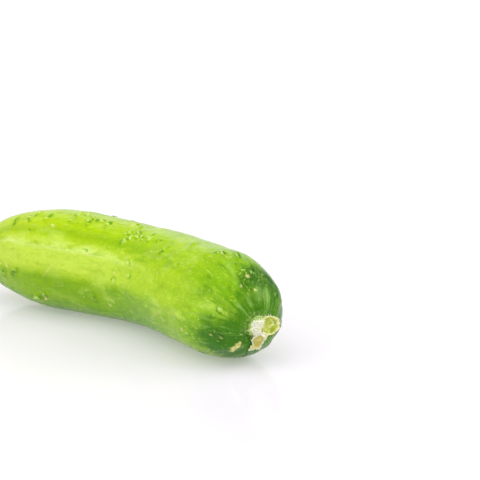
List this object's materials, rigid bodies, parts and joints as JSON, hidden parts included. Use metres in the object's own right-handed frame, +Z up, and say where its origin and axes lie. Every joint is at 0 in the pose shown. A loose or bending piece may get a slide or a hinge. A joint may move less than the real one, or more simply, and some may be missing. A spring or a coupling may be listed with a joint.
{
  "type": "cucumber",
  "caption": "Bent mini cucumber, as picked, lying on its side, with a broken stalk stub and a torn strip of stalk skin at one end.",
  "frame": {"origin": "on the table, below the middle of the bounding box", "axes": "+X along the line between the two ends, towards the stem end; +Y towards the outer side of the bend; +Z up"},
  "size_m": [0.1416, 0.0422, 0.0356],
  "materials": {
    "skin": "waxy, semi-gloss, yellow-green at the blossom end to deep green at the stem end",
    "stalk": "matte, moist plant fibre, pale yellow-green with a cream rim"
  },
  "bodies": {
    "root": {"fruit": "skin", "stem_stub": "stalk"}
  },
  "joints": []
}
